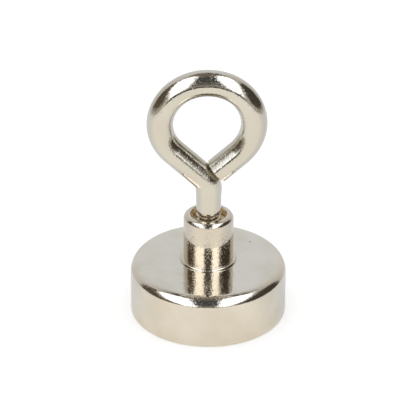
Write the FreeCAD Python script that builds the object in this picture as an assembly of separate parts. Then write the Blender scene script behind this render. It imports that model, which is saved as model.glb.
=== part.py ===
import FreeCAD, Part
import math
import os

# Pot magnet with a wire eye screwed into its bush. All sizes are in millimetres.
# The origin is the centre of the magnetic face, +Z points up through the eye,
# and the eye lies in the XZ plane with its sheared end on the +X side.

# Steel pot
POT_DIAMETER = 25.0
POT_HEIGHT = 9.05
POT_WALL = 1.7
POT_TOP_ROUND = 2.2
POT_FOOT_CHAMFER = 0.2
POT_MOUTH_CHAMFER = 0.2
POT_INNER_CHAMFER = 0.5

# Magnet, held by a ring of potting resin
MAGNET_THICKNESS = 5.0
MAGNET_EDGE_CHAMFER = 0.25
MAGNET_RECESS = 0.15
RESIN_GAP = 0.8
RESIN_RECESS = 0.45

# Bush, riveted through the top of the pot
BUSH_DIAMETER = 8.0
BUSH_STAND = 8.2
BUSH_RIM_ROUND = 0.85
BUSH_RIM_LAND = 0.25
BUSH_FOOT_WIDTH = 0.42
BUSH_FOOT_HEIGHT = 0.4
BUSH_FOOT_CHAMFER = 0.2
SPIGOT_SHOULDER = 1.0
RIVET_SPREAD = 0.8

# Metric thread of the eye in the bush, as wide as the shank and drawn plain on its pitch cylinder
THREAD_PITCH = 0.7
THREAD_LENGTH = 8.6
TAPPED_CLEARANCE = 1.0
DRILL_POINT_ANGLE = 118.0
THREAD_SHOWING = 0.5
THREAD_END_CHAMFER = 0.45

# Wire eye
WIRE_DIAMETER = 4.2
SHANK_DIAMETER = 4.0
SHANK_LENGTH = 4.0
SHANK_TAPER_LENGTH = 1.5
SHANK_EDGE_CHAMFER = 0.12
NECK_BEND_RADIUS = 3.0
LIMB_ANGLE = 43.0
NEAR_LIMB_LENGTH = 6.4
LOWER_LEFT_RADIUS = 6.45
UPPER_LEFT_RADIUS = 7.35
CROWN_RADIUS = 7.9
UPPER_RIGHT_RADIUS = 6.75
LOWER_RIGHT_RADIUS = 7.9
LEFT_JOIN_ANGLE = 75.0
CROWN_HALF_ANGLE = 21.4
RIGHT_JOIN_ANGLE = 114.0
END_GAP = 0.12
END_CHAMFER = 0.25

# Angles and axes
RIGHT_ANGLE = 90.0
HALF_TURN = 180.0
FULL_TURN = 360.0
ORIGIN = FreeCAD.Vector(0, 0, 0)
UP = FreeCAD.Vector(0, 0, 1)

# Levels and radii that follow from the sizes above
POT_RADIUS = POT_DIAMETER / 2
CAVITY_RADIUS = POT_RADIUS - POT_WALL
CAVITY_DEPTH = MAGNET_RECESS + MAGNET_THICKNESS
MAGNET_RADIUS = CAVITY_RADIUS - RESIN_GAP
BUSH_RADIUS = BUSH_DIAMETER / 2
BUSH_TOP = POT_HEIGHT + BUSH_STAND
MOUTH_RADIUS = BUSH_RADIUS - BUSH_RIM_ROUND - BUSH_RIM_LAND
SPIGOT_RADIUS = BUSH_RADIUS - SPIGOT_SHOULDER
WIRE_RADIUS = WIRE_DIAMETER / 2
SHANK_RADIUS = SHANK_DIAMETER / 2
SHANK_BOTTOM = BUSH_TOP + THREAD_SHOWING
NECK_LEVEL = SHANK_BOTTOM + SHANK_LENGTH
THREAD_BOTTOM = BUSH_TOP - THREAD_LENGTH
# A metric thread's pitch radius lies three eighths of its sharp height inside its crests.
THREAD_RADIUS = SHANK_RADIUS - THREAD_PITCH * math.sqrt(3) / 2 * 3 / 8


def corner_arc(point, to_previous, to_next, radius):
    """Start, middle and end of the arc that rounds the corner between two directions."""
    half_angle = to_previous.getAngle(to_next) / 2
    bisector = (to_previous + to_next).normalize()
    tangent_length = radius / math.tan(half_angle)
    start = point + to_previous * tangent_length
    middle = point + bisector * (radius / math.sin(half_angle) - radius)
    end = point + to_next * tangent_length
    return start, middle, end


def rounded_outline(corners):
    """Edges of a closed outline in the XZ plane through (x, z, round) corners."""
    points = [FreeCAD.Vector(x, 0, z) for x, z, _ in corners]
    arcs = []
    for index, (point, corner) in enumerate(zip(points, corners)):
        to_previous = (points[index - 1] - point).normalize()
        to_next = (points[(index + 1) % len(points)] - point).normalize()
        arcs.append(corner_arc(point, to_previous, to_next, corner[2]))
    edges = []
    for index, (start, middle, end) in enumerate(arcs):
        if not start.isEqual(end, 0):
            edges.append(Part.Arc(start, middle, end).toShape())
        next_start = arcs[(index + 1) % len(arcs)][0]
        edges.append(Part.LineSegment(end, next_start).toShape())
    return edges


def turned(corners):
    """Solid of revolution about the Z axis from the half section given by its corners."""
    section = Part.Face(Part.Wire(rounded_outline(corners)))
    return section.revolve(ORIGIN, UP, FULL_TURN)


def cavity():
    """Space inside the pot, from the magnetic face to the underside of its top plate."""
    return turned([
        (0, 0, 0),
        (CAVITY_RADIUS, 0, 0),
        (CAVITY_RADIUS, CAVITY_DEPTH - POT_INNER_CHAMFER, 0),
        (CAVITY_RADIUS - POT_INNER_CHAMFER, CAVITY_DEPTH, 0),
        (0, CAVITY_DEPTH, 0),
    ])


def spigot():
    """Lower end of the bush, with its rivet head spread into the countersunk top plate."""
    return turned([
        (0, CAVITY_DEPTH, 0),
        (SPIGOT_RADIUS + RIVET_SPREAD, CAVITY_DEPTH, 0),
        (SPIGOT_RADIUS, CAVITY_DEPTH + RIVET_SPREAD, 0),
        (SPIGOT_RADIUS, POT_HEIGHT, 0),
        (0, POT_HEIGHT, 0),
    ])


def steel_pot():
    """Deep cup with a rounded top edge, bored for the bush and open at the magnetic face."""
    cup = turned([
        (0, 0, 0),
        (POT_RADIUS - POT_FOOT_CHAMFER, 0, 0),
        (POT_RADIUS, POT_FOOT_CHAMFER, 0),
        (POT_RADIUS, POT_HEIGHT, POT_TOP_ROUND),
        (0, POT_HEIGHT, 0),
    ])
    mouth_cone = Part.makeCone(
        CAVITY_RADIUS + POT_MOUTH_CHAMFER, CAVITY_RADIUS, POT_MOUTH_CHAMFER)
    return cup.cut(cavity()).cut(mouth_cone).cut(spigot())


def magnet_disc():
    """Magnet, seated against the underside of the top plate."""
    return turned([
        (0, MAGNET_RECESS, 0),
        (MAGNET_RADIUS - MAGNET_EDGE_CHAMFER, MAGNET_RECESS, 0),
        (MAGNET_RADIUS, MAGNET_RECESS + MAGNET_EDGE_CHAMFER, 0),
        (MAGNET_RADIUS, CAVITY_DEPTH, 0),
        (0, CAVITY_DEPTH, 0),
    ])


def resin_ring():
    """Potting resin that fills the gap between the magnet and the wall of the pot."""
    recess = Part.makeCylinder(POT_RADIUS, RESIN_RECESS)
    return cavity().cut(recess).cut(magnet_disc())


def tapped_hole():
    """Blind hole down the bush with a drill point, and the countersunk mouth above it."""
    floor = THREAD_BOTTOM - TAPPED_CLEARANCE
    point_depth = THREAD_RADIUS / math.tan(math.radians(DRILL_POINT_ANGLE / 2))
    mouth_bottom = BUSH_TOP - (MOUTH_RADIUS - THREAD_RADIUS)
    return turned([
        (0, floor - point_depth, 0),
        (THREAD_RADIUS, floor, 0),
        (THREAD_RADIUS, mouth_bottom, 0),
        (MOUTH_RADIUS, BUSH_TOP, 0),
        (0, BUSH_TOP, 0),
    ])


def threaded_bush():
    """Turned bush with a rounded rim, a small foot collar and a riveted spigot."""
    foot_top = POT_HEIGHT + BUSH_FOOT_HEIGHT
    foot_radius = BUSH_RADIUS + BUSH_FOOT_WIDTH
    barrel = turned([
        (0, POT_HEIGHT, 0),
        (foot_radius, POT_HEIGHT, 0),
        (foot_radius, foot_top - BUSH_FOOT_CHAMFER, 0),
        (foot_radius - BUSH_FOOT_CHAMFER, foot_top, 0),
        (BUSH_RADIUS, foot_top, 0),
        (BUSH_RADIUS, BUSH_TOP, BUSH_RIM_ROUND),
        (0, BUSH_TOP, 0),
    ])
    return barrel.fuse(spigot()).cut(tapped_hole()).removeSplitter()


def along(heading):
    """Unit vector in the XZ plane at this angle above +X."""
    angle = math.radians(heading)
    return FreeCAD.Vector(math.cos(angle), 0, math.sin(angle))


def straight(start, heading, length):
    """Straight run of the wire's centreline, and the point where it ends."""
    end = start + along(heading) * length
    return Part.LineSegment(start, end).toShape(), end


def bend(start, heading, radius, next_heading):
    """Arc of the wire's centreline from one heading to the next, and the point where it ends."""
    turn = next_heading - heading
    inward = math.copysign(RIGHT_ANGLE, turn)
    centre = start + along(heading + inward) * radius
    middle = centre + along(heading + turn / 2 - inward) * radius
    end = centre + along(next_heading - inward) * radius
    return Part.Arc(start, middle, end).toShape(), end


def far_limb_length(start, heading, limb_point, limb_heading):
    """Length of the far limb, which stops just short of the near limb's side."""
    across = along(limb_heading - RIGHT_ANGLE)
    distance = (start - limb_point).dot(across)
    closing = -along(heading).dot(across)
    return (distance - WIRE_RADIUS - END_GAP) / closing


def eye_path():
    """Edges of the centreline from the top of the shank round the eye, and its last point."""
    near_heading = HALF_TURN - LIMB_ANGLE
    far_heading = LIMB_ANGLE - HALF_TURN
    neck, point = bend(UP * NECK_LEVEL, RIGHT_ANGLE, NECK_BEND_RADIUS, near_heading)
    near_limb, limb_end = straight(point, near_heading, NEAR_LIMB_LENGTH)
    edges = [neck, near_limb]
    point, heading = limb_end, near_heading
    for radius, next_heading in (
            (LOWER_LEFT_RADIUS, LEFT_JOIN_ANGLE),
            (UPPER_LEFT_RADIUS, CROWN_HALF_ANGLE),
            (CROWN_RADIUS, -CROWN_HALF_ANGLE),
            (UPPER_RIGHT_RADIUS, -RIGHT_JOIN_ANGLE),
            (LOWER_RIGHT_RADIUS, far_heading)):
        arc, point = bend(point, heading, radius, next_heading)
        edges.append(arc)
        heading = next_heading
    length = far_limb_length(point, far_heading, limb_end, near_heading)
    far_limb, end = straight(point, far_heading, length)
    edges.append(far_limb)
    return edges, end


def bent_wire():
    """Round wire swept along the eye, with the rim of its sheared end broken."""
    edges, end = eye_path()
    section = Part.Wire(Part.makeCircle(WIRE_RADIUS, UP * NECK_LEVEL, UP))
    wire = Part.Wire(edges).makePipeShell([section], True, False)
    sheared = [edge for edge in wire.Edges if is_rim(edge, end)]
    return wire.makeChamfer(END_CHAMFER, sheared)


def is_rim(edge, centre):
    """Whether the edge is the circle of the wire's section about this centre."""
    return edge.CenterOfMass.isEqual(centre, Part.Precision.confusion())


def turned_shank():
    """Plain shank under the eye with its thread below, turned down from the wire."""
    return turned([
        (0, THREAD_BOTTOM, 0),
        (THREAD_RADIUS - THREAD_END_CHAMFER, THREAD_BOTTOM, 0),
        (THREAD_RADIUS, THREAD_BOTTOM + THREAD_END_CHAMFER, 0),
        (THREAD_RADIUS, SHANK_BOTTOM, 0),
        (SHANK_RADIUS - SHANK_EDGE_CHAMFER, SHANK_BOTTOM, 0),
        (SHANK_RADIUS, SHANK_BOTTOM + SHANK_EDGE_CHAMFER, 0),
        (SHANK_RADIUS, NECK_LEVEL - SHANK_TAPER_LENGTH, 0),
        (WIRE_RADIUS, NECK_LEVEL, 0),
        (0, NECK_LEVEL, 0),
    ])


def eye_bolt():
    """Eye, shank and thread as one bent piece of wire."""
    return turned_shank().fuse(bent_wire()).removeSplitter()


PARTS = {
    "steel_pot": steel_pot,
    "threaded_bush": threaded_bush,
    "magnet_disc": magnet_disc,
    "resin_ring": resin_ring,
    "eye_bolt": eye_bolt,
}

os.makedirs("parts", exist_ok=True)
for name, build in PARTS.items():
    build().exportStep(f"parts/{name}.step")
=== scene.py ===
"""Studio scene of a nickel-plated pot magnet with a wire eye screwed into its bush.

Everything is in metres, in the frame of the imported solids: the origin is the
centre of the magnetic face, +Z points up, and the eye lies in the XZ plane.
The sizes of the pieces are written in millimetres, and each mesh is turned
into metres as it is made.
"""

import logging
import math
from dataclasses import dataclass, field
from enum import Enum
from typing import Callable, Sequence

import bpy
import numpy as np
from mathutils import Matrix, Vector


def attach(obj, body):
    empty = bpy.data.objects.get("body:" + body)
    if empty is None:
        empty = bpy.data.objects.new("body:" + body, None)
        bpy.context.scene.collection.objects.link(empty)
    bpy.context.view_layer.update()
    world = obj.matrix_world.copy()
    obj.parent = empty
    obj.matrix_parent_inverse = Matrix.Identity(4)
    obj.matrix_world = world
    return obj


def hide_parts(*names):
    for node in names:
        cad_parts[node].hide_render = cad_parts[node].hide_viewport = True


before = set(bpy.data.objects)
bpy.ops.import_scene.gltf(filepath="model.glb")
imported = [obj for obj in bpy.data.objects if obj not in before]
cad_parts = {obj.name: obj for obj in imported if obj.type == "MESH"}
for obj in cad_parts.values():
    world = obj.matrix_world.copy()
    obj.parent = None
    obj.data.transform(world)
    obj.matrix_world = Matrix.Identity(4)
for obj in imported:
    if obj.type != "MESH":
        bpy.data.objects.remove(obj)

LOG = logging.getLogger("pot_magnet")
MM = 0.001
ROOT = "root"
# A row of points narrower than this, in millimetres, is a single point.
NO_WIDTH = 1e-7
# Keeps a division clear of zero.
TINY = 1e-9
# Heading of a centreline that rises along +Z, in degrees.
UPRIGHT = 90.0
# Lean of a surface that faces along its wire, in degrees.
END_ON = 90.0
FULL = (0.0, 1.0)

# Short names for what the methods take and give.
Array = np.ndarray
Piece = bpy.types.Object
Material = bpy.types.Material
Group = bpy.types.NodeTree
Span = tuple[float, float]
Colour = tuple[float, float, float]
Socket = bpy.types.NodeSocket
Feed = float | tuple[float, ...] | Socket


class Slot(Enum):
    """Material slots of the record."""

    NICKEL = "nickel_plate"
    MAGNET = "magnet_plate"
    RESIN = "epoxy"


# Shapes


@dataclass(frozen=True)
class Corner:
    """One corner of a half section, in millimetres."""

    r: float
    z: float
    round: float = 0.0


@dataclass(frozen=True)
class Outline:
    """Points of a half section with the normal at each, in millimetres."""

    points: Array
    normals: Array

    @staticmethod
    def through(corners: Sequence[Corner], step_deg: float = 5.0) -> "Outline":
        """Rounds each corner with its own arc and samples the whole outline.

        Args:
            corners: Corners in order, with the outside on the right of travel.
            step_deg: Largest turn between two points of an arc.

        Returns:
            The outline, with exact normals along its runs and arcs.
        """
        places = [np.array((c.r, c.z)) for c in corners]
        runs = [_unit(b - a) for a, b in zip(places, places[1:])]
        points = [places[0]]
        normals = [_right_of(runs[0])]
        for place, corner, before, after in zip(places[1:], corners[1:], runs, runs[1:]):
            arc_points, arc_normals = _corner_arc(place, before, after, corner.round, step_deg)
            points += arc_points
            normals += arc_normals
        points.append(places[-1])
        normals.append(_right_of(runs[-1]))
        return Outline(np.array(points), np.array(normals))


def _unit(vector: Array) -> Array:
    """The vector at length one."""
    return vector / np.linalg.norm(vector)


def _right_of(direction: Array) -> Array:
    """Normal on the right of a direction of travel in the (r, z) plane."""
    return np.array((direction[1], -direction[0]))


def _ramp(value: Array, start: float, end: float) -> Array:
    """Rises from 0 at the start to 1 at the end, and stays within them."""
    return np.clip((value - start) / (end - start), 0.0, 1.0)


def _eased(share: Array) -> Array:
    """A share from 0 to 1 that starts and stops softly."""
    return share * share * (3 - 2 * share)


def _corner_arc(
    place: Array, before: Array, after: Array, radius: float, step_deg: float
) -> tuple[list[Array], list[Array]]:
    """Points and normals of the arc that rounds one corner.

    Args:
        place: The sharp corner.
        before: Direction of the run into it.
        after: Direction of the run out of it.
        radius: Radius of the arc.
        step_deg: Largest turn between two points.

    Returns:
        The points and the normals along the arc.
    """
    turn = math.atan2(before[0] * after[1] - before[1] * after[0], float(before @ after))
    start = place - before * radius * math.tan(abs(turn) / 2)
    side = math.copysign(1.0, turn)
    centre = start - side * _right_of(before) * radius
    count = max(2, math.ceil(math.degrees(abs(turn)) / step_deg))
    heading = math.atan2(before[1], before[0])
    points, normals = [], []
    for share in np.linspace(0.0, 1.0, count + 1):
        angle = heading + turn * share
        normal = _right_of(np.array((math.cos(angle), math.sin(angle))))
        points.append(centre + side * normal * radius)
        normals.append(normal)
    return points, normals


@dataclass
class SkinGrid:
    """Rows of points round an axis or a wire, joined into one smooth skin."""

    rows: list[Array] = field(default_factory=list)
    normals: list[Array] = field(default_factory=list)

    def add(self, points: Array, normals: Array) -> None:
        """Adds one row, which is kept as a single point where it has no width.

        Args:
            points: Points of the row, in millimetres.
            normals: The normal at each.
        """
        kept = 1 if np.ptp(points, axis=0).max() < NO_WIDTH else len(points)
        self.rows.append(points[:kept])
        self.normals.append(normals[:kept])

    def piece(self, name: str) -> Piece:
        """Builds the mesh.

        Args:
            name: Name of the piece.

        Returns:
            The linked object, in metres.
        """
        ends = np.cumsum([len(row) for row in self.rows]).tolist()
        rings = [range(end - len(row), end) for row, end in zip(self.rows, ends)]
        faces = []
        for low, high in zip(rings, rings[1:]):
            faces += _band(low, high)
        mesh = bpy.data.meshes.new(name)
        mesh.from_pydata((np.concatenate(self.rows) * MM).tolist(), [], faces)
        mesh.polygons.foreach_set("use_smooth", [True] * len(faces))
        mesh.normals_split_custom_set_from_vertices(np.concatenate(self.normals).tolist())
        mesh.update()
        piece = bpy.data.objects.new(name, mesh)
        bpy.context.scene.collection.objects.link(piece)
        return piece


def _band(low: range, high: range) -> list[tuple[int, ...]]:
    """Faces between two neighbouring rings, either of which may be a single point.

    Args:
        low: Vertices of the first ring.
        high: Vertices of the second ring.

    Returns:
        The faces, as vertices in order.
    """
    if len(low) == 1 and len(high) == 1:
        return []
    count = max(len(low), len(high))
    faces = []
    for k in range(count):
        n = (k + 1) % count
        if len(low) == 1:
            faces.append((low[0], high[n], high[k]))
        elif len(high) == 1:
            faces.append((low[k], low[n], high[0]))
        else:
            faces.append((low[k], low[n], high[n], high[k]))
    return faces


def _turn_angles(segments: int) -> Array:
    """Angles of the points of one full turn."""
    return np.arange(segments) * (2 * math.pi / segments)


def turned_rows(grid: SkinGrid, outline: Outline, segments: int) -> None:
    """Adds an outline turned about the Z axis to a grid.

    Args:
        grid: Grid that takes the rows.
        outline: The half section.
        segments: Points of each row.
    """
    angles = _turn_angles(segments)
    cos, sin = np.cos(angles), np.sin(angles)
    for (r, z), (nr, nz) in zip(outline.points, outline.normals):
        grid.add(
            np.stack([r * cos, r * sin, np.full_like(cos, z)], 1),
            np.stack([nr * cos, nr * sin, np.full_like(cos, nz)], 1),
        )


def radial_rows(
    grid: SkinGrid,
    radius: Callable[[Array, float], Array],
    levels: Sequence[float],
    angles: Array,
    outward: float,
) -> None:
    """Adds a skin whose radius changes round the axis and along it, such as a thread.

    Args:
        grid: Grid that takes the rows.
        radius: Radius at the angles, for one level.
        levels: Heights of the rows, in order.
        angles: Angles of the points about the Z axis.
        outward: 1 for a shaft and -1 for a hole.
    """
    # Half the step of the slopes, in millimetres along the axis and in radians round it.
    small = 0.004
    cos, sin = np.cos(angles), np.sin(angles)
    for z in levels:
        r = radius(angles, z)
        along = (radius(angles, z + small) - radius(angles, z - small)) / (2 * small)
        across = (radius(angles + small, z) - radius(angles - small, z)) / (2 * small) / r
        normal = np.stack([cos + across * sin, sin - across * cos, -along], 1) * outward
        normal /= np.linalg.norm(normal, axis=1)[:, None]
        grid.add(np.stack([r * cos, r * sin, np.full_like(r, z)], 1), normal)


@dataclass(frozen=True)
class MetricThread:
    """Helical screw thread of 60 degrees, right-handed, in millimetres."""

    crest: float = 2.0
    pitch: float = 0.7
    groove: float = 0.7
    row_step: float = 0.035

    @property
    def height(self) -> float:
        """Height of the sharp thread form."""
        return self.pitch * math.sqrt(3) / 2

    @property
    def root(self) -> float:
        """Radius at the bottom of the groove, which is a share of the height deep."""
        return self.crest - self.height * self.groove

    def radius(self, angles: Array, z: float) -> Array:
        """Radius of the external thread.

        Args:
            angles: Angles about the axis.
            z: The level.

        Returns:
            The radius at each angle.
        """
        phase = z / self.pitch - angles / (2 * math.pi)
        wave = 2 * np.abs(phase - np.floor(phase) - 0.5)
        # The pitch line lies 3/8 of the sharp form's height below the crest.
        middle = self.crest - 3 / 8 * self.height
        return np.clip(middle + (wave - 0.5) * self.height, self.root, self.crest)


# Shader wiring


class Wiring:
    """Adds nodes to one node tree and joins them."""

    def __init__(self, tree: Group) -> None:
        """Works on this tree."""
        self.nodes, self.links = tree.nodes, tree.links

    def feed(self, socket: Socket, value: Feed) -> None:
        """Joins an output to an input, or sets the input to a plain value.

        Args:
            socket: The input.
            value: The output or the value.
        """
        if isinstance(value, Socket):
            self.links.new(value, socket)
        else:
            socket.default_value = value

    def node(
        self, kind: str, inputs: dict[str | int, Feed] | None = None, **settings: object
    ) -> bpy.types.Node:
        """Adds a node.

        Args:
            kind: Kind of the node.
            inputs: What goes into its inputs, by name or number.
            settings: The node's own settings.

        Returns:
            The node.
        """
        node = self.nodes.new(kind)
        for name, setting in settings.items():
            setattr(node, name, setting)
        for key, value in (inputs or {}).items():
            self.feed(node.inputs[key], value)
        return node

    def effect(self, group: Group, inputs: dict[str | int, Feed]) -> bpy.types.NodeOutputs:
        """Adds a shared effect and gives what it puts out."""
        return self.node("ShaderNodeGroup", inputs, node_tree=group).outputs

    def painted(self, name: str) -> bpy.types.NodeOutputs:
        """What was painted on the mesh under a name."""
        return self.node("ShaderNodeAttribute", attribute_name=name).outputs

    def bump(self, height: Feed, distance: float) -> Socket:
        """Normal of a surface with fine relief."""
        inputs = {"Strength": 1.0, "Distance": distance, "Height": height}
        return self.node("ShaderNodeBump", inputs).outputs["Normal"]

    def surface(self, shading: Socket) -> None:
        """Makes this the surface of the material."""
        self.feed(self.nodes["Material Output"].inputs["Surface"], shading)

    def arithmetic(self, operation: str, *values: Feed) -> Socket:
        """One step of arithmetic on the values."""
        return self.node("ShaderNodeMath", dict(enumerate(values)), operation=operation).outputs[0]

    def noise(self, place: Feed, scale: Feed, detail: float) -> Socket:
        """Soft noise over a place."""
        inputs = {"Vector": place, "Scale": scale, "Detail": detail}
        return self.node("ShaderNodeTexNoise", inputs).outputs["Fac"]

    def remap(self, value: Feed, given: Span, wanted: Span) -> Socket:
        """Carries a value from the range that is given to the one wanted, and holds it there."""
        limits = dict(zip(("From Min", "From Max", "To Min", "To Max"), (*given, *wanted)))
        return self.node("ShaderNodeMapRange", {"Value": value, **limits}).outputs["Result"]

    def mix(self, kind: str, share: Feed, first: Feed, second: Feed) -> Socket:
        """Mixes two values (kind FLOAT) or two colours (kind RGBA) by the share of the second."""
        inputs = {"Factor": share, "A": first, "B": second}
        return self.node("ShaderNodeMix", inputs, data_type=kind).outputs["Result"]


@dataclass(frozen=True)
class NewMaterial:
    """A new material with its wiring and its shader."""

    material: Material
    wires: Wiring
    shader: bpy.types.Node

    @staticmethod
    def named(name: str) -> "NewMaterial":
        """Starts a material.

        Args:
            name: Name of the material.

        Returns:
            The material, ready to be wired.
        """
        material = bpy.data.materials.new(name)
        material.use_nodes = True
        wires = Wiring(material.node_tree)
        return NewMaterial(material, wires, wires.nodes["Principled BSDF"])

    def finish(self, inputs: dict[str, Feed]) -> Material:
        """Feeds the shader.

        Args:
            inputs: What goes into its inputs, by name.

        Returns:
            The finished material.
        """
        for key, value in inputs.items():
            self.wires.feed(self.shader.inputs[key], value)
        return self.material


# Shared effects


class Effects:
    """Shader node groups that more than one finish uses, built once."""

    mottle_scale = 1500.0
    pits = (0.54, 0.72)
    clouds = (0.35, 0.65)
    speck_chance = 0.9
    # One nick on the pot's top plate: its place, and the radii of its edge and its core.
    nick_place = (0.00675, 0.0052, 0.00905)
    nick_radii = (0.00022, 0.0001)
    scratch_stretch = (1.0, 14.0, 5.0)
    scratch_turn = (0.4, 0.2, 0.7)
    scratch_scale = 300.0
    scratches = (0.68, 0.76)
    mark_stretch = (0.6, 1.0, 0.6)
    mark_dullness = 1.4

    def __init__(self) -> None:
        """Makes the groups."""
        self.plating_skin = self._plating_skin()
        self.handling = self._handling()
        self.tool_marks = self._tool_marks()

    @staticmethod
    def _new(
        name: str, inputs: dict[str, float], outputs: Sequence[str]
    ) -> tuple[Group, bpy.types.NodeOutputs, bpy.types.NodeInputs]:
        """Makes an empty group with float sockets beside its coordinate.

        Args:
            name: Name of the group.
            inputs: Input names with their defaults.
            outputs: Output names.

        Returns:
            The group, what it is given, and the sockets for what it makes.
        """
        group = bpy.data.node_groups.new(name, "ShaderNodeTree")
        sockets = group.interface
        sockets.new_socket("Coordinate", in_out="INPUT", socket_type="NodeSocketVector")
        for key, value in inputs.items():
            sockets.new_socket(key, in_out="INPUT", socket_type="NodeSocketFloat").default_value = value
        for key in outputs:
            sockets.new_socket(key, in_out="OUTPUT", socket_type="NodeSocketFloat")
        given, made = group.nodes.new("NodeGroupInput"), group.nodes.new("NodeGroupOutput")
        return group, given.outputs, made.inputs

    def _plating_skin(self) -> Group:
        """Fine unevenness of electroplated metal: a soft waviness, a pitted grain and faint clouds.

        Returns:
            The group.
        """
        group, given, made = self._new(
            "plating_skin",
            {"Wave Scale": 700.0, "Grain Scale": 3700.0, "Grain Share": 0.2, "Cloud Scale": 190.0},
            ("Height", "Mottle", "Clouds"),
        )
        wires = Wiring(group)
        place = given["Coordinate"]
        wave = wires.noise(place, given["Wave Scale"], detail=2.0)
        grain = wires.remap(wires.noise(place, given["Grain Scale"], detail=2.0), self.pits, FULL)
        cloud = wires.noise(place, given["Cloud Scale"], detail=3.0)
        wires.feed(made["Height"], wires.mix("FLOAT", given["Grain Share"], wave, grain))
        wires.feed(made["Mottle"], wires.noise(place, self.mottle_scale, detail=4.0))
        wires.feed(made["Clouds"], wires.remap(cloud, self.clouds, FULL))
        return group

    def _handling(self) -> Group:
        """Sparse dark specks, one nick and the hairline scratches left by handling.

        Returns:
            The group.
        """
        group, given, made = self._new(
            "handling", {"Speck Scale": 300.0, "Speck Size": 0.045}, ("Specks", "Scratches")
        )
        wires = Wiring(group)
        place = given["Coordinate"]
        cells = wires.node("ShaderNodeTexVoronoi", {"Vector": place, "Scale": given["Speck Scale"]})
        near = wires.arithmetic("LESS_THAN", cells.outputs["Distance"], given["Speck Size"])
        chosen = wires.arithmetic("GREATER_THAN", cells.outputs["Color"], self.speck_chance)
        specks = wires.arithmetic("MULTIPLY", near, chosen)
        away = wires.node("ShaderNodeVectorMath", {0: place, 1: self.nick_place}, operation="DISTANCE")
        nick = wires.remap(away.outputs["Value"], self.nick_radii, FULL)
        wires.feed(made["Specks"], wires.arithmetic("MAXIMUM", specks, nick))
        stretch = wires.node("ShaderNodeMapping", {
            "Vector": place, "Scale": self.scratch_stretch, "Rotation": self.scratch_turn,
        })
        lines = wires.noise(stretch.outputs["Vector"], self.scratch_scale, detail=2.0)
        wires.feed(made["Scratches"], wires.remap(lines, self.scratches, FULL))
        return group

    def _tool_marks(self) -> Group:
        """Dull, rippled patches where the bending tool pressed the metal.

        Returns:
            The group.
        """
        group, given, made = self._new(
            "tool_marks", {"Worked": 0.0, "Mark Scale": 1100.0}, ("Dents", "Dull")
        )
        wires = Wiring(group)
        inputs = {"Vector": given["Coordinate"], "Scale": self.mark_stretch}
        stretch = wires.node("ShaderNodeMapping", inputs)
        dents = wires.noise(stretch.outputs["Vector"], given["Mark Scale"], detail=3.0)
        level = wires.arithmetic("MULTIPLY", dents, given["Worked"])
        wires.feed(made["Dents"], level)
        wires.feed(made["Dull"], wires.arithmetic("MULTIPLY", level, self.mark_dullness))
        return group


@dataclass(frozen=True)
class MetalFinish:
    """Plated metal: a colour with faint clouds, its polish and how uneven the plating is."""

    name: str
    colour: Colour
    cloud: Colour
    polish: float
    dull: float
    bump: float
    grain_share: float
    worked: bool = False
    speck_colour: Colour = (0.16, 0.14, 0.12)
    scratch_dullness: float = 0.1
    pressed_dullness: float = 0.45
    dent_depth: float = 0.9

    def material(self, effects: Effects) -> Material:
        """Builds the material.

        Args:
            effects: The shared node groups.

        Returns:
            The finished material.
        """
        new = NewMaterial.named(self.name)
        wires = new.wires
        place = wires.node("ShaderNodeTexCoord").outputs["Object"]
        worked = wires.painted("worked")["Fac"] if self.worked else 0.0
        skin = wires.effect(effects.plating_skin, {"Coordinate": place, "Grain Share": self.grain_share})
        wear = wires.effect(effects.handling, {"Coordinate": place})
        marks = wires.effect(effects.tool_marks, {"Coordinate": place, "Worked": worked})
        tone = wires.mix("RGBA", skin["Clouds"], (*self.colour, 1.0), (*self.cloud, 1.0))
        rough = wires.remap(skin["Mottle"], FULL, (self.polish, self.dull))
        rough = wires.arithmetic("MULTIPLY_ADD", wear["Scratches"], self.scratch_dullness, rough)
        rough = wires.arithmetic("MULTIPLY_ADD", marks["Dull"], self.pressed_dullness, rough)
        height = wires.arithmetic("MULTIPLY_ADD", marks["Dents"], self.dent_depth, skin["Height"])
        return new.finish({
            "Metallic": 1.0,
            "Base Color": wires.mix("RGBA", wear["Specks"], tone, (*self.speck_colour, 1.0)),
            "Roughness": rough,
            "Normal": wires.bump(height, self.bump),
        })


@dataclass(frozen=True)
class ResinFinish:
    """Cast potting resin: dark, glossy and slightly wavy."""

    name: str = "potting_resin"
    colour: Colour = (0.035, 0.035, 0.038)
    cloud: Colour = (0.07, 0.07, 0.075)
    polish: float = 0.18
    dull: float = 0.4
    bump: float = 0.00004
    grain_share: float = 0.05

    def material(self, effects: Effects) -> Material:
        """Builds the material.

        Args:
            effects: The shared node groups.

        Returns:
            The finished material.
        """
        new = NewMaterial.named(self.name)
        wires = new.wires
        place = wires.node("ShaderNodeTexCoord").outputs["Object"]
        skin = wires.effect(effects.plating_skin, {"Coordinate": place, "Grain Share": self.grain_share})
        return new.finish({
            "Base Color": wires.mix("RGBA", skin["Mottle"], (*self.colour, 1.0), (*self.cloud, 1.0)),
            "Roughness": wires.remap(skin["Mottle"], FULL, (self.polish, self.dull)),
            "Normal": wires.bump(skin["Height"], self.bump),
        })


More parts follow.
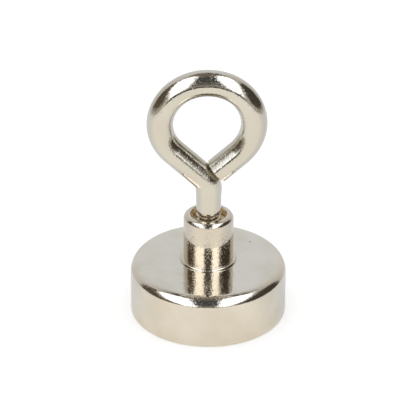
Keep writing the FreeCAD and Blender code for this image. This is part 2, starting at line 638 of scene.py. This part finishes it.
@dataclass(frozen=True)
class Finishes:
    """The finished materials of the object."""

    drawn: Material
    turned: Material
    wire: Material
    sheared: Material
    bore: Material
    magnet: Material
    resin: Material

    @staticmethod
    def make() -> "Finishes":
        """Builds the shared groups and each finish once.

        Returns:
            The finished materials.
        """
        finishes = (
            MetalFinish(
                "nickel_drawn", colour=(0.735, 0.685, 0.595), cloud=(0.68, 0.62, 0.52),
                polish=0.05, dull=0.09, bump=0.00001, grain_share=0.65,
            ),
            MetalFinish(
                "nickel_turned", colour=(0.675, 0.615, 0.515), cloud=(0.65, 0.58, 0.475),
                polish=0.05, dull=0.09, bump=0.000015, grain_share=0.8,
            ),
            MetalFinish(
                "nickel_wire", colour=(0.675, 0.64, 0.555), cloud=(0.65, 0.605, 0.51),
                polish=0.05, dull=0.1, bump=0.000012, grain_share=0.65, worked=True,
            ),
            MetalFinish(
                "nickel_sheared", colour=(0.55, 0.49, 0.4), cloud=(0.46, 0.41, 0.33),
                polish=0.4, dull=0.55, bump=0.00003, grain_share=0.6,
            ),
            # Painted reflection: the bore's browner, golden colour stands for the warm light that the
            # thread's faces throw on each other deep in the hole.
            MetalFinish(
                "nickel_bore", colour=(0.77, 0.65, 0.475), cloud=(0.65, 0.54, 0.385),
                polish=0.22, dull=0.36, bump=0.00001, grain_share=0.6,
            ),
            MetalFinish(
                "magnet_plate", colour=(0.62, 0.61, 0.58), cloud=(0.57, 0.56, 0.535),
                polish=0.22, dull=0.4, bump=0.000003, grain_share=0.5,
            ),
            ResinFinish(),
        )
        effects = Effects()
        return Finishes(*(finish.material(effects) for finish in finishes))


def dress(piece: Piece, material: Material, slot: Slot, *nodes: str) -> Piece:
    """Gives a new piece its finish and its place in the frame.

    Args:
        piece: The new piece.
        material: Its material.
        slot: The record's slot for its finish; not used.
        nodes: Solids that it stands for.

    Returns:
        The same piece.
    """
    piece.data.materials.append(material)
    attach(piece, ROOT)
    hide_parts(*nodes)
    return piece


def refinish(piece: Piece, material: Material, first: int, end: int) -> None:
    """Gives a run of faces another finish.

    Args:
        piece: The piece.
        material: The other finish.
        first: First face of the run.
        end: Face after the last of the run.
    """
    piece.data.materials.append(material)
    index = len(piece.data.materials) - 1
    for polygon in piece.data.polygons[first:end]:
        polygon.material_index = index


# The object


@dataclass
class PotCup:
    """Deep steel cup with a rounded shoulder, open at the magnetic face."""

    radius: float = 12.5
    height: float = 9.05
    wall: float = 1.7
    shoulder: float = 2.2
    foot: float = 0.22
    mouth_round: float = 0.2
    inner_round: float = 0.4
    depth: float = 5.15
    bore: float = 2.95
    shade_margin: float = 0.01
    segments: int = 256
    step_deg: float = 3.0
    # Where the shoulder's face rises by lean_from degrees, it is shaded as if by lean_to.
    lean_from: tuple[float, ...] = (0.0, 4.0, 8.0, 15.0, 22.0, 30.0, 38.0, 46.0, 56.0, 62.0, 66.0, 90.0)
    lean_to: tuple[float, ...] = (2.0, 4.6, 11.8, 23.0, 37.0, 45.0, 52.5, 64.0, 75.0, 82.0, 88.0, 90.0)

    def _drawn_shoulder(self, outline: Outline) -> Outline:
        """Shades the shoulder as a drawn plate catches the light, flatter near its top.

        Args:
            outline: Outline of the cup.

        Returns:
            The same points with the shoulder's normals turned.
        """
        start = self.shoulder + self.shade_margin
        radii, levels = outline.points.T
        rounded = (radii > self.radius - start) & (levels > self.height - start)
        angles = np.degrees(np.arctan2(outline.normals[:, 1], outline.normals[:, 0]))
        lean = np.radians(np.interp(angles, self.lean_from, self.lean_to))
        drawn = np.stack([np.cos(lean), np.sin(lean)], 1)
        return Outline(outline.points, np.where(rounded[:, None], drawn, outline.normals))

    def build(self, finishes: Finishes) -> Piece:
        """Builds and dresses the cup.

        Args:
            finishes: The finished materials.

        Returns:
            The cup.
        """
        inner = self.radius - self.wall
        outline = Outline.through([
            Corner(self.bore, self.depth),
            Corner(inner, self.depth, self.inner_round),
            Corner(inner, 0.0, self.mouth_round),
            Corner(self.radius, 0.0, self.foot),
            Corner(self.radius, self.height, self.shoulder),
            Corner(self.bore, self.height),
        ], self.step_deg)
        grid = SkinGrid()
        turned_rows(grid, self._drawn_shoulder(outline), self.segments)
        return dress(grid.piece("pot_cup"), finishes.drawn, Slot.NICKEL, "steel_pot")


@dataclass
class Bush:
    """Turned bush with a rounded rim, a counterbored tapped hole and a foot collar."""

    radius: float = 4.0
    base: float = 9.05
    sunk: float = 0.3
    stand: float = 8.2
    rim: float = 0.85
    land: float = 0.25
    foot_width: float = 0.56
    foot_height: float = 0.34
    foot_round: float = 0.3
    foot_fillet: float = 0.05
    mouth_round: float = 0.1
    mouth_taper: float = 0.1
    mouth_depth: float = 1.3
    lip: float = 0.2
    hole_bottom: float = 7.65
    drill_point: float = 0.9
    clearance: float = 0.03
    thread: MetricThread = MetricThread()
    segments: int = 160
    step_deg: float = 6.0

    @property
    def top(self) -> float:
        """Level of the rim."""
        return self.base + self.stand

    @property
    def mouth(self) -> float:
        """Radius of the mouth at the rim."""
        return self.radius - self.rim - self.land

    def hole_radius(self, angles: Array, z: float) -> Array:
        """Radius of the tapped hole and its opened mouth.

        Args:
            angles: Angles about the axis.
            z: The level.

        Returns:
            The radius at each angle.
        """
        threads = self.thread.radius(angles, z) + self.clearance
        below = self.top - z
        narrowing = self.mouth_taper * below + max(0.0, below - self.mouth_depth)
        return np.maximum(threads, self.mouth - narrowing)

    def build(self, finishes: Finishes) -> Piece:
        """Builds and dresses the bush.

        Args:
            finishes: The finished materials.

        Returns:
            The bush.
        """
        foot_radius, foot_top = self.radius + self.foot_width, self.base + self.foot_height
        outline = Outline.through([
            Corner(0.0, self.base - self.sunk),
            Corner(foot_radius, self.base - self.sunk),
            Corner(foot_radius, foot_top, self.foot_round),
            Corner(self.radius, foot_top, self.foot_fillet),
            Corner(self.radius, self.top, self.rim),
            Corner(self.mouth, self.top, self.mouth_round),
            Corner(self.mouth - self.mouth_taper * self.lip, self.top - self.lip),
        ], self.step_deg)
        grid = SkinGrid()
        turned_rows(grid, outline, self.segments)
        outside = len(grid.rows) - 1
        step = self.thread.row_step
        levels = np.arange(self.top - self.lip - step, self.hole_bottom, -step)
        radial_rows(grid, self.hole_radius, levels, _turn_angles(self.segments), -1.0)
        floor = Outline.through([
            Corner(self.thread.root, self.hole_bottom),
            Corner(0.0, self.hole_bottom - self.drill_point),
        ])
        turned_rows(grid, floor, self.segments)
        bush = dress(grid.piece("bush"), finishes.turned, Slot.NICKEL, "threaded_bush")
        # The tapped hole takes the bore finish, with its painted golden reflection.
        refinish(bush, finishes.bore, outside * self.segments, len(bush.data.polygons))
        return bush


@dataclass
class WireEye:
    """One piece of wire: thread, plain shank, neck bend and closed eye."""

    # Radii of the wire and of the plain shank.
    wire: float = 2.09
    shank: float = 2.0
    thread_bottom: float = 8.65
    tip_chamfer: float = 0.5
    tip_radius: float = 1.45
    tip_row: float = 0.02
    shank_bottom: float = 17.75
    run_out: float = 0.12
    neck_level: float = 21.75
    taper: float = 1.5
    taper_rows: int = 10
    edge: float = 0.12
    limb_angle: float = 43.0
    near_limb: float = 6.4
    neck_bend: float = 3.0
    # Radius of each bend of the eye and the heading that it ends at.
    bends: tuple[Span, ...] = (
        (6.45, 75.0), (7.35, 21.4), (7.9, -21.4), (6.75, -114.0), (7.9, -137.0),
    )
    end_gap: float = 0.1
    end_chamfer: float = 0.14
    # Rings of the sheared end's rim: the lean, and how far back and in, as shares of end_chamfer.
    end_rim: tuple[tuple[float, float, float], ...] = (
        (0.0, 1.15, 0.0), (12.0, 0.93, 0.02), (45.0, 0.5, 0.5), (78.0, 0.07, 0.93), (90.0, 0.0, 1.1),
    )
    eye_centre: Span = (-0.3, 33.0)
    # Where the marks of the bending tool rise from none to full: down from the top, up from the
    # foot, and from a surface across the eye's centre to one that faces it.
    pressed_top: Span = (29.0, 26.0)
    pressed_foot: Span = (21.0, 22.0)
    pressed_facing: Span = (0.25, 0.75)
    thread: MetricThread = MetricThread()
    segments: int = 128
    step_deg: float = 2.5
    rise_step_deg: float = 15.0

    def _thread_radius(self, angles: Array, z: float) -> Array:
        """Radius of the threaded end, pointed at the tip and run out at the shank.

        Args:
            angles: Angles about the axis.
            z: The level.

        Returns:
            The radius at each angle.
        """
        tip = self.thread.crest - self.tip_chamfer + (z - self.thread_bottom)
        left = _ramp(z, self.shank_bottom, self.shank_bottom - self.run_out)
        run_out = self.shank - left * (self.shank - self.thread.root)
        return np.minimum(np.maximum(self.thread.radius(angles, z), run_out), tip)

    def _add_ring(
        self, grid: SkinGrid, centre: Sequence[float], heading: float, radius: float, lean: float = 0.0
    ) -> None:
        """Adds one ring of the wire.

        Args:
            grid: Grid that takes the ring.
            centre: Point of the centreline, as (x, z).
            heading: Angle of the centreline above +X, in degrees.
            radius: Radius of the wire here.
            lean: How far the surface leans forward along the wire, in degrees.
        """
        turn = _turn_angles(self.segments)
        angle, tilt = math.radians(heading), math.radians(lean)
        ahead = np.array((math.cos(angle), 0.0, math.sin(angle)))
        side = np.array((-math.sin(angle), 0.0, math.cos(angle)))
        out = np.cos(turn)[:, None] * side - np.sin(turn)[:, None] * np.array((0.0, 1.0, 0.0))
        place = np.array((centre[0], 0.0, centre[1]))
        grid.add(place + out * radius, out * math.cos(tilt) + ahead * math.sin(tilt))

    def _shank_rows(self, grid: SkinGrid) -> int:
        """Adds the threaded end and the plain shank up to the neck.

        Args:
            grid: Grid that takes the rows.

        Returns:
            How many bands of faces the threaded end has.
        """
        for radius in (0.0, self.tip_radius):
            self._add_ring(grid, (0.0, self.thread_bottom), UPRIGHT, radius, -END_ON)
        levels = np.arange(self.thread_bottom + self.tip_row, self.shank_bottom, self.thread.row_step)
        radial_rows(grid, self._thread_radius, levels, _turn_angles(self.segments) + math.pi, 1.0)
        threaded = len(grid.rows) - 1
        rise = Outline.through([
            Corner(self.thread.root, self.shank_bottom),
            Corner(self.shank, self.shank_bottom, self.edge),
            Corner(self.shank, self.neck_level - self.taper),
        ], self.rise_step_deg)
        for (r, z), (nr, nz) in zip(rise.points[1:], rise.normals[1:]):
            self._add_ring(grid, (0.0, z), UPRIGHT, r, math.degrees(math.atan2(nz, nr)))
        growth = self.wire - self.shank
        for share in np.linspace(1 / self.taper_rows, 1.0, self.taper_rows):
            # The slope is that of the eased rise.
            slope = 6 * share * (1 - share) * growth / self.taper
            level = self.neck_level - self.taper * (1 - share)
            radius = self.shank + growth * _eased(share)
            self._add_ring(grid, (0.0, level), UPRIGHT, radius, -math.degrees(math.atan(slope)))
        return threaded

    def _bend_rows(
        self, grid: SkinGrid, start: Array, heading: float, radius: float, target: float
    ) -> Array:
        """Adds the rings of one bend after its first.

        Args:
            grid: Grid that takes the rings.
            start: Where the bend starts, as (x, z).
            heading: Heading at its start, in degrees.
            radius: Radius of the centreline.
            target: Heading at its end.

        Returns:
            The point where it ends.
        """
        turn = target - heading
        side = math.copysign(1.0, turn)
        centre = start + side * radius * _left_of(heading)
        count = max(2, math.ceil(abs(turn) / self.step_deg))
        for share in np.linspace(0.0, 1.0, count + 1)[1:]:
            angle = heading + turn * share
            point = centre - side * radius * _left_of(angle)
            self._add_ring(grid, point, angle, self.wire)
        return point

    def _far_limb(self, start: Array, heading: float, limb_point: Array, limb_heading: float) -> float:
        """Length of the last limb, which stops just short of the near limb.

        Args:
            start: Where the limb starts, as (x, z).
            heading: Its heading, in degrees.
            limb_point: A point of the near limb's centreline.
            limb_heading: Heading of the near limb.

        Returns:
            The length.
        """
        across = -_left_of(limb_heading)
        closing = -_along(heading) @ across
        return ((start - limb_point) @ across - self.wire - self.end_gap) / closing

    def _end_rows(self, grid: SkinGrid, end: Array, heading: float) -> None:
        """Adds the last limb and the sheared end with its broken rim.

        Args:
            grid: Grid that takes the rings.
            end: Where the wire ends, as (x, z).
            heading: Heading of the last limb, in degrees.
        """
        for lean, back, inset in self.end_rim:
            place = end - _along(heading) * self.end_chamfer * back
            self._add_ring(grid, place, heading, self.wire - self.end_chamfer * inset, lean)
        self._add_ring(grid, end, heading, 0.0, END_ON)

    def build(self, finishes: Finishes) -> Piece:
        """Builds and dresses the eye.

        Args:
            finishes: The finished materials.

        Returns:
            The eye.
        """
        grid = SkinGrid()
        threaded = self._shank_rows(grid)
        near = 180.0 - self.limb_angle
        start = np.array((0.0, self.neck_level))
        neck_end = self._bend_rows(grid, start, UPRIGHT, self.neck_bend, near)
        limb_end = neck_end + _along(near) * self.near_limb
        self._add_ring(grid, limb_end, near, self.wire)
        point, heading = limb_end, near
        for radius, target in self.bends:
            point = self._bend_rows(grid, point, heading, radius, target)
            heading = target
        end = point + _along(heading) * self._far_limb(point, heading, limb_end, near)
        self._end_rows(grid, end, heading)
        eye = dress(grid.piece("wire_eye"), finishes.wire, Slot.NICKEL, "eye_bolt")
        self._mark_pressed(eye, grid)
        faces = len(eye.data.polygons)
        refinish(eye, finishes.sheared, faces - 2 * self.segments, faces)
        # The threaded end takes the bore finish, with its painted golden reflection.
        refinish(eye, finishes.bore, 0, threaded * self.segments)
        return eye

    def _mark_pressed(self, eye: Piece, grid: SkinGrid) -> None:
        """Marks where the bending tool pressed: the inner side of both limbs near the joint.

        Args:
            eye: The finished eye.
            grid: The grid that it was built from.
        """
        points, normals = (np.concatenate(rows)[:, (0, 2)] for rows in (grid.rows, grid.normals))
        inward = np.array(self.eye_centre) - points
        inward /= np.linalg.norm(inward, axis=1)[:, None]
        facing = _ramp(np.einsum("ij,ij->i", inward, normals), *self.pressed_facing)
        level = _ramp(points[:, 1], *self.pressed_top) * _ramp(points[:, 1], *self.pressed_foot)
        worked = eye.data.attributes.new("worked", "FLOAT", "POINT")
        worked.data.foreach_set("value", facing * level)


def _along(heading: float) -> Array:
    """Unit vector in the XZ plane at an angle above +X, as (x, z)."""
    angle = math.radians(heading)
    return np.array((math.cos(angle), math.sin(angle)))


def _left_of(heading: float) -> Array:
    """Unit vector on the left of a heading, as (x, z)."""
    return _along(heading + 90.0)


@dataclass
class MagneticFace:
    """Magnet disc and the resin that holds it, seen from below."""

    magnet_radius: float = 10.0
    cavity_radius: float = 10.8
    recess: float = 0.15
    edge_round: float = 0.3
    back_round: float = 0.2
    resin_recess: float = 0.45
    meniscus: float = 0.12
    resin_overlap: float = 0.02
    resin_rows: int = 13
    resin_chamfer: float = 0.5
    resin_round: float = 0.05
    top: float = 5.15
    segments: int = 192
    step_deg: float = 10.0
    resin_step_deg: float = 20.0

    def _magnet(self, finishes: Finishes) -> Piece:
        """Builds the magnet with its broken edge.

        Args:
            finishes: The finished materials.

        Returns:
            The magnet.
        """
        outline = Outline.through([
            Corner(0.0, self.recess),
            Corner(self.magnet_radius, self.recess, self.edge_round),
            Corner(self.magnet_radius, self.top, self.back_round),
            Corner(0.0, self.top),
        ], self.step_deg)
        grid = SkinGrid()
        turned_rows(grid, outline, self.segments)
        return dress(grid.piece("magnet"), finishes.magnet, Slot.MAGNET, "magnet_disc")

    def _resin(self, finishes: Finishes) -> Piece:
        """Builds the ring of resin, with its surface drawn up at both walls.

        Args:
            finishes: The finished materials.

        Returns:
            The ring.
        """
        half = (self.cavity_radius - self.magnet_radius) / 2
        radii = np.linspace(self.magnet_radius - self.resin_overlap, self.cavity_radius, self.resin_rows)
        shares = (radii - self.magnet_radius) / half - 1
        slopes = -2 * self.meniscus * shares / half
        surface = Outline(
            np.stack([radii, self.resin_recess - self.meniscus * shares * shares], 1),
            np.array([_unit(np.array((slope, -1.0))) for slope in slopes]),
        )
        back = Outline.through([
            Corner(self.cavity_radius, self.resin_recess + self.resin_overlap),
            Corner(self.cavity_radius, self.top - self.resin_chamfer, self.resin_round),
            Corner(self.cavity_radius - self.resin_chamfer, self.top, self.resin_round),
            Corner(self.magnet_radius, self.top),
        ], self.resin_step_deg)
        grid = SkinGrid()
        for outline in (surface, back):
            turned_rows(grid, outline, self.segments)
        return dress(grid.piece("resin"), finishes.resin, Slot.RESIN, "resin_ring")

    def build(self, finishes: Finishes) -> list[Piece]:
        """Builds and dresses the magnet and the resin."""
        return [self._magnet(finishes), self._resin(finishes)]


# The studio


@dataclass(frozen=True)
class Panel:
    """Lamp or screen on the tent round the object, given by the directions it covers.

    Each corner is an azimuth from the camera's side, to the right, and an
    elevation, in degrees.
    """

    name: str
    radiance: Colour
    corners: tuple[Span, ...]
    soft: float

    def cover(self, azimuth: Array, elevation: Array) -> Array:
        """Share of the panel's light in each direction, soft at its edge.

        Args:
            azimuth: Azimuths of the directions, in degrees.
            elevation: Elevations of the directions, in degrees.

        Returns:
            The share for each direction, from 0 to 1.
        """
        narrow = np.cos(np.radians(elevation))
        nearest = np.full_like(azimuth, np.inf)
        inside = np.zeros(azimuth.shape, dtype=bool)
        for (a0, e0), (a1, e1) in zip(self.corners, self.corners[1:] + self.corners[:1]):
            edge_x, edge_y = (a1 - a0) * narrow, e1 - e0
            x, y = (azimuth - a0) * narrow, elevation - e0
            share = np.clip((x * edge_x + y * edge_y) / (edge_x**2 + edge_y**2 + TINY), 0.0, 1.0)
            nearest = np.minimum(nearest, np.hypot(x - share * edge_x, y - share * edge_y))
            crosses = (e0 > elevation) != (e1 > elevation)
            rise = e1 - e0 or 1.0
            inside ^= crosses & (azimuth < a0 + (elevation - e0) * (a1 - a0) / rise)
        depth = np.where(inside, nearest, -nearest) / self.soft
        return _eased(_ramp(depth, -1.0, 1.0))


def paint(piece: Piece, name: str, colours: Array) -> None:
    """Paints a row of three colour values on each point of a piece, under a name."""
    coat = piece.data.color_attributes.new(name, "FLOAT_COLOR", "POINT")
    coat.data.foreach_set("color", np.column_stack([colours, np.ones(len(colours))]).ravel())


@dataclass
class LightTent:
    """Dome of light walls, dark screens and two large lamps, as polished metal shows it."""

    radius: float = 0.6
    step_deg: float = 1.5
    wall_azimuths: tuple[float, ...] = (-180.0, -150.0, -120.0, -60.0, 60.0, 120.0, 150.0, 180.0)
    wall_colours: tuple[Colour, ...] = (
        (0.79, 0.83, 0.88), (0.77, 0.78, 0.8), (0.68, 0.68, 0.69), (0.45, 0.43, 0.4),
        (0.4, 0.38, 0.36), (0.6, 0.59, 0.58), (0.75, 0.75, 0.75), (0.79, 0.83, 0.88),
    )
    ceiling: Colour = (0.17, 0.145, 0.12)
    ceiling_rise: Span = (48.0, 80.0)
    screens: tuple[Panel, ...] = (
        Panel("low_wall", (0.85, 0.85, 0.83), ((-200, -88), (200, -88), (200, -6), (-200, -6)), 3.0),
        Panel("low_left_screen", (0.3, 0.29, 0.28), (
            (-150, -75), (-60, -75), (-40, -20), (-120, -20),
        ), 14.0),
        Panel("low_right_screen", (0.3, 0.29, 0.28), (
            (30, -75), (110, -75), (140, -20), (70, -20),
        ), 14.0),
        Panel("left_header", (0.1, 0.085, 0.07), ((-200, 58), (-130, 61), (-122, 70), (-200, 73)), 4.0),
        Panel("right_header", (0.1, 0.085, 0.07), ((200, 58), (130, 61), (122, 70), (200, 73)), 4.0),
        Panel("camera_opening", (0.08, 0.083, 0.09), (
            (-20, -6), (16, -6), (17, 20), (19, 32), (21, 45), (24, 58), (28, 64), (37, 70),
            (20, 79), (-30, 79), (-62, 74), (-47, 66), (-36, 60), (-28, 50), (-24, 40), (-20, 20),
        ), 4.0),
        Panel("camera_stand", (0.15, 0.14, 0.12), ((-16, -6), (13, -6), (13, 36), (-16, 36)), 8.0),
        Panel("ledge", (0.4, 0.38, 0.35), ((-20, 2), (18, 2), (18, 12), (-20, 12)), 2.5),
        Panel("left_screen", (0.12, 0.095, 0.075), (
            (-42, 1), (-106, 1), (-110, 20), (-112, 36), (-112, 50),
            (-104, 54), (-90, 44), (-78, 36), (-62, 27), (-50, 14),
        ), 5.0),
        Panel("right_screen", (0.07, 0.06, 0.05), (
            (40, 1), (118, 1), (120, 20), (120, 42), (100, 48),
            (84, 46), (70, 40), (58, 32), (48, 20), (41, 10),
        ), 4.0),
    )
    lamps: tuple[Panel, ...] = (
        Panel("left_lamp", (2.22, 2.33, 2.5), (
            (-15, 5), (-32, 5), (-36, 12), (-46, 20), (-62, 30), (-76, 40),
            (-98, 49), (-107, 58), (-110, 71), (-90, 76), (-62, 75), (-47, 67),
            (-35, 60), (-27, 50), (-23, 40), (-20, 30), (-17, 18),
        ), 3.5),
        Panel("right_lamp", (2.22, 2.33, 2.5), (
            (13, 7), (15, 18), (17, 32), (19, 45), (22, 58), (27, 64),
            (37, 71), (60, 78), (100, 79), (128, 74), (116, 60), (98, 55),
            (83, 50), (71, 46), (59, 40), (48, 30), (37, 20), (30, 7),
        ), 3.5),
    )
    skirtings: tuple[Panel, ...] = (
        Panel("skirting", (0.46, 0.435, 0.4), ((-64, -12), (62, -12), (62, 2.0), (-64, 2.0)), 1.5),
        Panel("dark_skirting", (0.03, 0.027, 0.025), (
            (-26, -12), (20, -12), (20, 2.5), (-26, 2.5),
        ), 2.0),
    )

    def _radiance(self, azimuth: Array, elevation: Array) -> Array:
        """Radiance of the tent in each direction, each panel over those before it.

        Args:
            azimuth: Azimuths of the directions, in degrees.
            elevation: Elevations of the directions, in degrees.

        Returns:
            The radiance, as rows of three.
        """
        tones = zip(*self.wall_colours)
        wall = np.stack([np.interp(azimuth, self.wall_azimuths, tone) for tone in tones], 1)
        high = _ramp(elevation, *self.ceiling_rise)[:, None]
        light = wall * (1 - high) + np.array(self.ceiling) * high
        for panel in (*self.screens, *self.lamps, *self.skirtings):
            LOG.info("light tent: %s", panel.name)
            share = panel.cover(azimuth, elevation)[:, None]
            light = light * (1 - share) + np.array(panel.radiance) * share
        return light

    def build(self) -> None:
        """Builds the tent, which only reflections see."""
        azimuths = np.arange(-180.0, 180.0, self.step_deg)
        angles = np.radians(azimuths)
        grid = SkinGrid()
        directions = []
        for elevation in np.arange(-90.0, 90.0 + self.step_deg / 2, self.step_deg):
            flat, up = math.cos(math.radians(elevation)), math.sin(math.radians(elevation))
            row = np.stack([np.sin(angles) * flat, -np.cos(angles) * flat, np.full_like(angles, up)], 1)
            grid.add(row * self.radius / MM, -row)
            directions += [(azimuth, elevation) for azimuth in azimuths[:len(grid.rows[-1])]]
        tent = grid.piece("light_tent")
        places = np.array(directions)
        paint(tent, "radiance", self._radiance(places[:, 0], places[:, 1]))
        tent.data.materials.append(self._material())
        tent.visible_camera = False
        tent.visible_diffuse = False
        tent.visible_transmission = False
        tent.visible_shadow = False

    @staticmethod
    def _material() -> Material:
        """Cloth that gives off the radiance painted on it.

        Returns:
            The material.
        """
        new = NewMaterial.named("tent_cloth")
        wires = new.wires
        wires.nodes.remove(new.shader)
        glow = wires.node("ShaderNodeEmission", {"Color": wires.painted("radiance")["Color"]})
        wires.surface(glow.outputs["Emission"])
        return new.material


@dataclass
class Studio:
    """Pale floor, light tent, even room light and the camera."""

    floor_radius: float = 0.2
    floor_ring: float = 60.0
    floor_opening: float = 12.2
    floor_drop: float = 0.01
    floor_segments: int = 96
    floor_colour: Colour = (0.78, 0.78, 0.78)
    floor_roughness: float = 0.9
    camera_lift: float = 0.35
    # Painted light on the floor: a glow that only reflections see, warm in front of the object and
    # bluish at the sides, listed by azimuth near the object and far from it.
    glow_azimuths: tuple[float, ...] = (-180.0, -101.0, -78.0, -50.0, 50.0, 78.0, 101.0, 180.0)
    near_glow: tuple[Colour, ...] = (
        (0.06, 0.08, 0.13), (0.1, 0.12, 0.155), (0.225, 0.225, 0.215), (0.3, 0.27, 0.22),
        (0.3, 0.27, 0.22), (0.14, 0.15, 0.165), (0.06, 0.08, 0.1), (0.06, 0.08, 0.13),
    )
    far_glow: tuple[Colour, ...] = (
        (0.05, 0.06, 0.1), (0.08, 0.1, 0.13), (0.14, 0.15, 0.16), (0.29, 0.27, 0.23),
        (0.26, 0.24, 0.2), (0.08, 0.09, 0.11), (0.04, 0.05, 0.08), (0.05, 0.06, 0.1),
    )
    target: tuple[float, float, float] = (-0.101, 0.0, 18.20)
    distance: float = 355.8
    elevation: float = 29.02
    roll: float = 0.006
    lens: float = 193.9
    sensor: float = 36.0
    clip_start: float = 0.01

    def camera(self) -> None:
        """Places the camera where the outlines say it stood."""
        angle = math.radians(self.elevation)
        back = Vector((0.0, -math.cos(angle), math.sin(angle)))
        right = Vector((1.0, 0.0, 0.0))
        up = right.cross(-back)
        turned_right = right * math.cos(self.roll) + up * math.sin(self.roll)
        turned_up = up * math.cos(self.roll) - right * math.sin(self.roll)
        place = (Vector(self.target) + back * self.distance) * MM
        data = bpy.data.cameras.new("camera")
        data.sensor_width = self.sensor
        data.lens = self.lens
        data.clip_start = self.clip_start
        camera = bpy.data.objects.new("camera", data)
        bpy.context.scene.collection.objects.link(camera)
        turned = Matrix((turned_right, turned_up, back)).transposed().to_4x4()
        camera.matrix_world = Matrix.Translation(place) @ turned
        bpy.context.scene.camera = camera

    def floor(self) -> None:
        """Lays the pale floor, white to the camera and still shaded round the object.

        It is open under the object and clear from below, so that the magnetic
        face can be looked at.
        """
        grid = SkinGrid()
        radii = (self.floor_radius / MM, self.floor_ring, self.floor_opening)
        outline = Outline(
            np.array([(r, -self.floor_drop) for r in radii]),
            np.array([(0.0, 1.0) for _ in radii]),
        )
        turned_rows(grid, outline, self.floor_segments)
        floor = grid.piece("floor")
        # The glow's azimuths start from the camera's side, which is -Y.
        azimuths = (np.degrees(_turn_angles(self.floor_segments)) + 270.0) % 360.0 - 180.0
        far, near = (
            np.stack([np.interp(azimuths, self.glow_azimuths, tone) for tone in zip(*table)], 1)
            for table in (self.far_glow, self.near_glow)
        )
        # Paints the floor's painted glow: the far table on the outer rows and the near table by the
        # object.
        paint(floor, "glow", np.concatenate([far, far, near]))
        floor.data.materials.append(self._floor_paper())

    def _floor_paper(self) -> Material:
        """Matt paper that is lifted to white for the camera, and in reflections to a painted glow that
        is warm in front and bluish at the sides.

        Returns:
            The material.
        """
        new = NewMaterial.named("floor_paper")
        wires = new.wires
        path = wires.node("ShaderNodeLightPath").outputs
        # Painted glow, which reflections see on top of the paper's diffuse light.
        painted_glow = wires.painted("glow")["Color"]
        lift = (self.camera_lift,) * 3 + (1.0,)
        strength = path["Is Camera Ray"]
        for ray in ("Is Glossy Ray", "Is Transmission Ray"):
            strength = wires.arithmetic("MAXIMUM", strength, path[ray])
        new.finish({
            "Base Color": (*self.floor_colour, 1.0),
            "Roughness": self.floor_roughness,
            "Specular IOR Level": 0.0,
            "Emission Color": wires.mix("RGBA", path["Is Camera Ray"], painted_glow, lift),
            "Emission Strength": strength,
        })
        sheet = wires.node("ShaderNodeMixShader", {
            "Fac": wires.node("ShaderNodeNewGeometry").outputs["Backfacing"],
            1: new.shader.outputs["BSDF"],
            2: wires.node("ShaderNodeBsdfTransparent").outputs["BSDF"],
        })
        wires.surface(sheet.outputs["Shader"])
        return new.material

    def world(self) -> None:
        """Sets the even room light, which is also the white behind the object."""
        world = bpy.data.worlds.new("studio")
        bpy.context.scene.world = world
        world.use_nodes = True
        background = world.node_tree.nodes["Background"]
        background.inputs["Color"].default_value = (1.0, 1.0, 1.0, 1.0)
        background.inputs["Strength"].default_value = 1.0

    def build(self) -> None:
        """Sets up the whole studio."""
        bpy.context.scene.view_settings.view_transform = "Standard"
        self.camera()
        self.floor()
        LightTent().build()
        self.world()


def main() -> None:
    """Builds the object and the studio round it."""
    logging.basicConfig(level=logging.INFO, format="%(message)s")
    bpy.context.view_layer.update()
    finishes = Finishes.make()
    pieces = [PotCup().build(finishes), Bush().build(finishes), WireEye().build(finishes)]
    pieces += MagneticFace().build(finishes)
    for piece in pieces:
        LOG.info("%s: %d faces", piece.name, len(piece.data.polygons))
    Studio().build()


if __name__ == "__main__":
    main()
